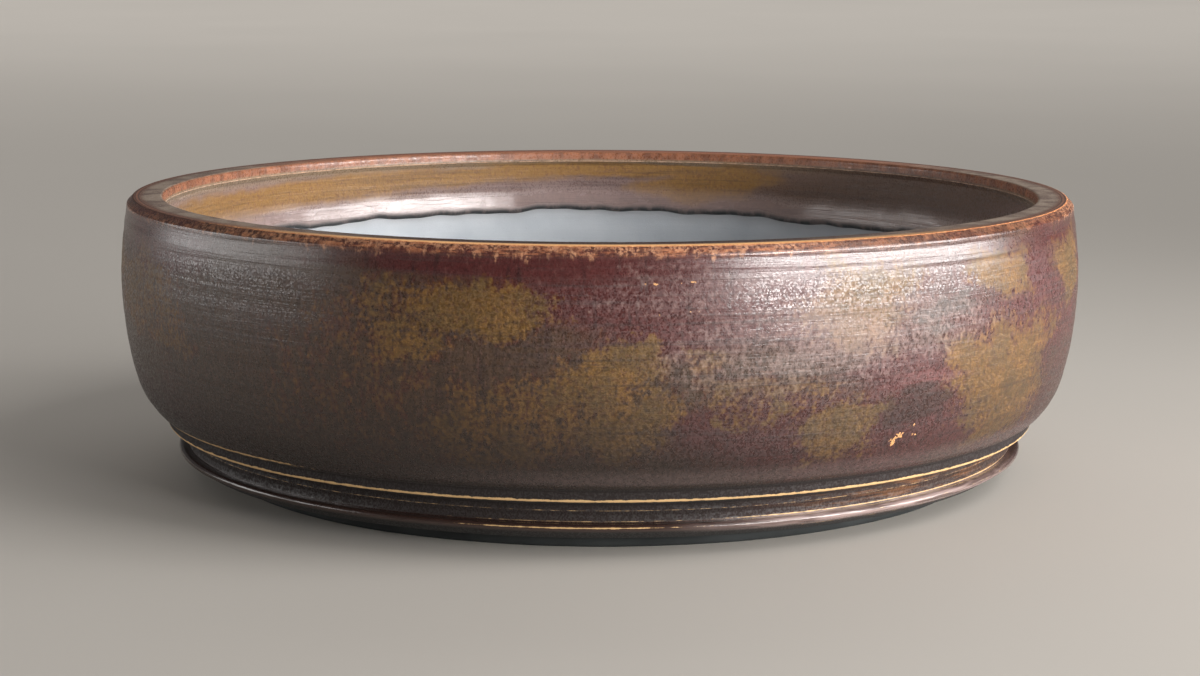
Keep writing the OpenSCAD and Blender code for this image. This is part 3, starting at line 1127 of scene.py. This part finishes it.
def rimmed(s, colour):
    """Runs below the rim, its bevel, its flat top and the lip's inner face."""
    facing = s.attribute("facing")
    dry = s.attribute("dry_rim")
    near_front = s.less(1.0, s.times(s.attribute("left_rim"), 0.8))
    runs = s.noise(1.9 * MM, 3.0, 0.6, (1, 1, 0.15))
    below_rim = s.less(pot_h, s.z)
    run_level = s.less(s.swing(runs, 11 * MM), s.less(below_rim, 2 * MM))
    run = s.times(s.span(run_level, -1 * MM, 1.5 * MM), s.span(s.crystal, 0.44, 0.56, 0.05, 1.0))
    run = s.times(run, s.times(s.outer, near_front))
    run = s.times(run, s.span(dry, 0.0, 1.0, 1.0, 0.25))
    colour = s.mix(s.times(run, 0.7), colour, Tint.run)

    dashes = s.noise(2.5 * MM, 3.0, 0.6, (0.4, 0.4, 4))
    bevel_colour = s.mix(s.span(dashes, 0.42, 0.56), Tint.bevel_dark, Tint.bevel_light)
    worn = s.times(near_front, s.span(s.ragged, 0.42, 0.6, 0.05, 0.55))
    bevel = s.times(s.attribute("bevel"), worn)
    bevel = s.times(bevel, s.span(dry, 0.0, 1.0, 1.0, 0.5))
    colour = s.mix(bevel, colour, bevel_colour)

    turned_lines = s.stripes(s.radius(), 0.7 * MM)
    # The grey of the rim top's sides is partly painted sheen; where it faces the front it is dark
    # brown with a bright orange outer edge, and behind it is orange-brown
    grey = s.mix(s.span(s.patchy, 0.4, 0.6), Tint.rim_grey, Tint.rim_dark_grey)
    grey = s.mix(s.attribute("behind"), grey, Tint.rim_behind)
    grey = s.mix(facing, grey, Tint.rim_front)
    rust = s.mix(s.span(turned_lines, 0.42, 0.58), Tint.rim_rust, Tint.rim_light_rust)
    rust = s.mix(facing, rust, Tint.rim_front_edge)
    top = s.mix(s.attribute("top_out"), grey, rust)
    colour = s.mix(s.attribute("rim_top"), colour, top)
    lip = s.mix(s.span(s.ragged, 0.38, 0.62), Tint.lip_light, Tint.lip_dark)
    return s.mix(s.attribute("lip_face"), colour, lip)


def moulded(s, colour):
    """Grooves and bead of the base, with painted shade, a partly painted sheen and a painted
    highlight.
    """
    lines = s.noise(1.1 * MM, 2.0, 0.6, (0.06, 0.06, 1))
    # Golden streaks in the groove on the key-lit stretch, partly painted sheen
    gold = s.times(s.attribute("groove_light"), s.span(lines, 0.48, 0.62, 0.1, 1.0))
    shadow = s.mix(gold, Tint.groove_shadow, Tint.groove_gold_sheen)
    shadow = s.mix(s.attribute("under"), shadow, Tint.under_bead_shade)
    # Painted shade in the cove and grooves, partly dark pooled glaze, and under the bead
    colour = s.mix(s.times(s.attribute("hollow"), 0.88), colour, shadow)
    colour = s.mix(s.times(s.attribute("bead"), 0.5), colour, Tint.bead)
    # Painted highlight on the bead's key-lit face
    pale = s.times(s.attribute("pale"), s.span(lines, 0.4, 0.6, 0.2, 0.72))
    return s.mix(pale, colour, Tint.pale)


def edged(s, colour):
    """Lines where the glaze breaks over an edge, one of them a painted highlight, chips, and the
    pooled edge inside, whose dark is partly painted shade.
    """
    dash = s.noise(2.4 * MM, 3.0, 0.65)
    broken = s.span(s.level("broken", (dash, 1.0)), 0.5, 0.75)
    orange = s.mix(s.span(s.hair, 0.4, 0.65), Tint.edge_orange, Tint.edge_light)
    line = s.mix(s.outer, Tint.lip_line, orange)
    line = s.mix(s.span(s.z, *base_fall), line, Tint.base_line)
    colour = s.mix(s.times(broken, 0.92), colour, line)
    chips = s.level("chips", (s.ragged, 1.6), (s.crystal, 1.6))
    colour = s.mix(s.times(s.span(chips, 0.12, 0.22), 0.85), colour, Tint.chip)
    # Dark pooled edge inside, partly painted shade
    pool_and_shade = s.times(s.attribute("pool_and_shade"), s.span(s.ragged, 0.35, 0.55, 0.6, 1.0))
    return s.mix(pool_and_shade, colour, Tint.pool_and_shade)


def glaze_roughness(s):
    rough = s.span(s.grain, 0.25, 0.75, 0.26, 0.68)
    rough = s.mix(s.thick, rough, s.span(s.patchy, 0.3, 0.7, 0.17, 0.3), "FLOAT")
    rough = s.mix(s.attribute("bead"), rough, 0.2, "FLOAT")
    near_rim = s.times(s.span(s.z, *gloss_rise, 0.0, 0.85), s.outer)
    rough = s.mix(near_rim, rough, 0.27, "FLOAT")
    rough = s.plus(rough, s.times(s.gold, 0.06))
    for name, more in (("hollow", 0.5), ("rim_top", 0.3), ("pool_and_shade", 0.45)):
        rough = s.plus(rough, s.times(s.attribute(name), more))
    return rough


def glaze_relief(s):
    """Pits and crystals where the glaze is thin, and throwing rings all over."""
    thin = s.times(s.less(1.0, s.thick), s.span(s.z, *relief_ease, 1.0, 0.4))
    normal = s.bump(s.times(s.pits, thin), 0.05 * MM)
    normal = s.bump(s.times(s.crystal, thin), 0.012 * MM, normal)
    return s.bump(s.rings, 0.13 * MM, normal)


def glaze_material():
    s = GlazeShader()
    colour = ground(s)
    for layer in (gilded, patched, shaded, stippled, rimmed, moulded, edged):
        colour = layer(s, colour)
    s.bsdf.inputs["IOR"].default_value = 1.66
    s.bsdf.inputs["Specular Tint"].default_value = (1.0, 0.96, 0.94, 1.0)
    return s.finish(colour, glaze_roughness(s), glaze_relief(s))


def clay_material(name, light, dark, speck):
    s = Shader(name)
    grain = s.noise(0.5 * MM, 4.0, 0.65)
    cloud = s.noise(16 * MM, 3.0, 0.5)
    rings = s.noise(1.6 * MM, 2.0, 0.5, (0.03, 0.03, 1))
    colour = s.mix(s.span(cloud, 0.3, 0.7), light, dark)
    colour = s.mix(s.span(rings, 0.4, 0.7, 0.0, 0.3), colour, dark)
    colour = s.mix(s.span(grain, 0.6, 0.74, 0.0, 0.4), colour, speck)
    colour = s.mix(s.times(s.attribute("stain"), 0.3), colour, srgb(140, 122, 108))
    normal = s.bump(rings, 0.06 * MM, s.bump(grain, 0.05 * MM))
    return s.finish(colour, s.span(cloud, 0.3, 0.7, 0.72, 0.86), normal)


def screen_material():
    s = Shader("screen_plastic")
    cloud = s.noise(5 * MM, 2.0, 0.5)
    grain = s.noise(0.3 * MM, 3.0, 0.6)
    colour = s.mix(s.span(cloud, 0.3, 0.7), srgb(40, 44, 42), srgb(54, 58, 55))
    return s.finish(colour, s.span(grain, 0.3, 0.7, 0.45, 0.6), s.bump(grain, 0.03 * MM))


def clip_material():
    s = Shader("anodised_wire")
    scratch = s.noise(0.5 * MM, 3.0, 0.6, (1, 0.2, 0.2))
    cloud = s.noise(6 * MM, 2.0, 0.5)
    colour = s.mix(s.span(cloud, 0.3, 0.7), srgb(120, 82, 60), srgb(138, 96, 70))
    colour = s.mix(s.span(scratch, 0.6, 0.75, 0.0, 0.5), colour, srgb(176, 150, 132))
    s.bsdf.inputs["Metallic"].default_value = 0.85
    return s.finish(colour, s.span(scratch, 0.3, 0.7, 0.34, 0.5), s.bump(scratch, 0.02 * MM))


def floor_material():
    s = Shader("pale_floor")
    cloud = s.noise(0.4, 3.0, 0.5)
    colour = s.mix(cloud, srgb(194, 187, 178), srgb(200, 193, 184))
    return s.finish(colour, s.span(cloud, 0.3, 0.7, 0.75, 0.85), s.bump(s.noise(4 * MM), 0.02 * MM))


def dress(obj, material, slot, *nodes):
    obj.data.materials.append(material)
    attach(obj, "root")
    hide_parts(*nodes)


clay = clay_material("bare_clay", srgb(202, 206, 210), srgb(190, 195, 200), srgb(152, 152, 150))
# The foot is the same clay as the wall, drawn dark grey as painted shade
foot_clay = clay_material("foot_clay", srgb(44, 47, 47), srgb(32, 35, 35), srgb(22, 24, 24))
dress(glaze_object(), glaze_material(), "glaze", "glaze_coat")
dress(wall_object(), clay, "clay", "wall")
dress(slab_object(), clay, "clay", "floor_slab")
dress(foot_object(), foot_clay, "foot_clay", "foot_ring")
plastic = screen_material()
wire = clip_material()
for index in range(1, drain_count + 1):
    dress(screen_object(index), plastic, "screen_plastic", "drain_screen_%d" % index)
    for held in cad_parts["screen_clip_%d" % index].material_slots:
        held.material = wire


# Stage, lights and camera


def add_floor():
    half = 20.0
    corners = [(-half, -half, 0), (half, -half, 0), (half, half, 0), (-half, half, 0)]
    obj = mesh_object("floor", corners, [(0, 1, 2, 3)], smooth=False)
    obj.data.materials.append(floor_material())


def add_light(name, azimuth, away, height, aim, size, power, spread=180, mirrored=True):
    """Softbox at an angle from the front, its middle at a height, facing a point up the axis."""
    a = math.radians(azimuth)
    data = bpy.data.lights.new(name, "AREA")
    data.shape = "RECTANGLE"
    data.size, data.size_y = size
    data.energy = power
    data.spread = math.radians(spread)
    obj = bpy.data.objects.new(name, data)
    at = Vector((away * math.sin(a), -away * math.cos(a), height))
    obj.location = at
    obj.rotation_euler = (Vector((0, 0, aim)) - at).to_track_quat("-Z", "Y").to_euler()
    obj.visible_camera = False
    obj.visible_glossy = mirrored
    bpy.context.scene.collection.objects.link(obj)


WORLD_LEVEL = 0.08


def add_world():
    world = bpy.data.worlds.new("studio")
    world.use_nodes = True
    back = world.node_tree.nodes["Background"]
    back.inputs["Color"].default_value = (1, 1, 1, 1)
    back.inputs["Strength"].default_value = WORLD_LEVEL
    bpy.context.scene.world = world


# Camera fitted to the photograph's rings, for a picture of 1200 by 676
PICTURE_W = 1200
SENSOR_MM = 36
FOCAL_PX = 2473
AXIS_PX = 599.6
CAMERA_BACK = 0.782
CAMERA_UP = 0.1663
PITCH = math.radians(9.237)
ROLL = math.radians(0.2)


def add_camera():
    data = bpy.data.cameras.new("camera")
    data.sensor_width = SENSOR_MM
    data.lens = FOCAL_PX / PICTURE_W * SENSOR_MM
    yaw = (PICTURE_W / 2 - AXIS_PX) / FOCAL_PX
    level = math.cos(PITCH)
    ahead = Vector((math.sin(yaw) * level, math.cos(yaw) * level, -math.sin(PITCH)))
    right = Vector((math.cos(yaw), -math.sin(yaw), 0))
    up = right.cross(ahead)
    x = math.cos(ROLL) * right + math.sin(ROLL) * up
    y = math.cos(ROLL) * up - math.sin(ROLL) * right
    axes = Matrix((x, y, -ahead)).transposed().to_4x4()
    obj = bpy.data.objects.new("camera", data)
    obj.matrix_world = Matrix.Translation((0, -CAMERA_BACK, CAMERA_UP)) @ axes
    bpy.context.scene.collection.objects.link(obj)
    bpy.context.scene.camera = obj


add_floor()
add_world()
for part, (azimuth, power) in enumerate(((41.5, 1.5), (64, 1.4), (86.5, 1.0)), 1):
    add_light("key_%d" % part, azimuth, away=1.2, height=0.24, aim=0.22, size=(0.48, 0.26),
              power=power, spread=60)
add_light("side", -90, away=1.3, height=0.23, aim=0.22, size=(1.27, 0.34), power=4.6)
add_light("top", 62, away=0.9, height=0.9, aim=pot_h, size=(0.7, 0.7), power=7)
# Far behind and facing down, to light the floor at the back
add_light("backdrop", 180, away=5.2, height=1.8, aim=-400, size=(9.0, 8.0), power=220,
          mirrored=False)
add_camera()
bpy.context.scene.view_settings.view_transform = "Standard"
